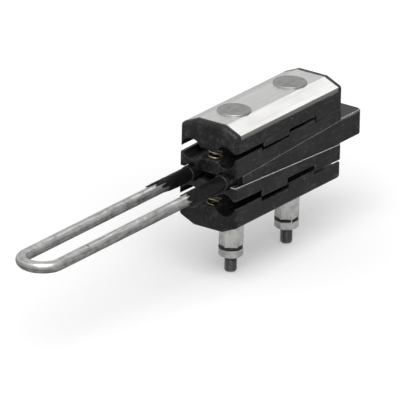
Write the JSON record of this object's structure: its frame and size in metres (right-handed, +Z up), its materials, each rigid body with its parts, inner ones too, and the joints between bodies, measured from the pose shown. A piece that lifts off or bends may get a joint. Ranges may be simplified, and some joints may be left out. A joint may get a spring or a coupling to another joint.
{
  "type": "wedge strain clamp",
  "caption": "Wedge strain clamp for insulated overhead cable cores: bolted grooved jaws drawn together round a wedge that hangs from a long wire bail.",
  "frame": {"origin": "centre of the bail's eye, on the rod's centre line", "axes": "+X along the clamp from the bail's eye to the wedge's thick end; +Y across, along the bail's width; +Z up towards the plate and the bolts' heads"},
  "size_m": [0.4192, 0.055, 0.1369],
  "materials": {
    "black_nylon": "moulded, slightly glossy",
    "black_sleeve": "semi-matt, torn at its end",
    "aluminium": "extruded, satin",
    "galvanised_steel": "galvanised, streaked",
    "zinc_steel": "zinc-plated, dull",
    "spring_steel": "zinc-plated with a yellowish tint",
    "black_ring": "matt"
  },
  "bodies": {
    "wedge_and_bail": {"wedge_core": "black_nylon", "bail": "galvanised_steel", "near_sleeve": "black_sleeve", "far_sleeve": "black_sleeve"},
    "clamp_frame": {"upper_outer_jaw": "black_nylon", "pressure_plate": "aluminium", "front_bolt": "zinc_steel", "rear_bolt": "zinc_steel"},
    "upper_inner": {"upper_inner_jaw": "black_nylon", "upper_front_spring": "spring_steel", "upper_rear_spring": "spring_steel"},
    "lower_inner": {"lower_inner_jaw": "black_nylon"},
    "lower_outer": {"lower_outer_jaw": "black_nylon", "front_washer": "zinc_steel", "rear_washer": "zinc_steel", "lower_front_spring": "spring_steel", "lower_rear_spring": "spring_steel"},
    "front_nut_set": {"front_nut": "zinc_steel", "front_nut_ring": "black_ring"},
    "rear_nut_set": {"rear_nut": "zinc_steel", "rear_nut_ring": "black_ring"}
  },
  "joints": [
    {"name": "wedge_pull", "type": "slide", "parent": "wedge_and_bail", "child": "clamp_frame", "axis": [1, 0, 0], "range_m": [-0.008, 0.012]},
    {"name": "upper_inner_lift", "type": "slide", "parent": "clamp_frame", "child": "upper_inner", "axis": [0, 0, 1], "range_m": [-0.0005, 0.0007], "deforming": ["upper_front_spring", "upper_rear_spring"]},
    {"name": "lower_inner_drop", "type": "slide", "parent": "clamp_frame", "child": "lower_inner", "axis": [0, 0, -1], "range_m": [-0.0005, 0.0007]},
    {"name": "lower_jaw_closing", "type": "slide", "parent": "clamp_frame", "child": "lower_outer", "axis": [0, 0, 1], "range_m": [-0.012, 0.001], "deforming": ["lower_front_spring", "lower_rear_spring"]},
    {"name": "front_nut_turn", "type": "hinge", "parent": "lower_outer", "child": "front_nut_set", "pos_m": [0.257, 0, -0.04645], "axis": [0, 0, 1], "range_deg": [-3040, 400]},
    {"name": "rear_nut_turn", "type": "hinge", "parent": "lower_outer", "child": "rear_nut_set", "pos_m": [0.334, 0, -0.04645], "axis": [0, 0, 1], "range_deg": [-3040, 400]}
  ],
  "couplings": [
    {"joint": "upper_inner_lift", "follows": "wedge_pull", "ratio": 0.04576},
    {"joint": "lower_inner_drop", "follows": "wedge_pull", "ratio": 0.04576},
    {"joint": "front_nut_turn", "follows": "lower_jaw_closing", "rad_per_m": 4188.8},
    {"joint": "rear_nut_turn", "follows": "lower_jaw_closing", "rad_per_m": 4188.8}
  ]
}
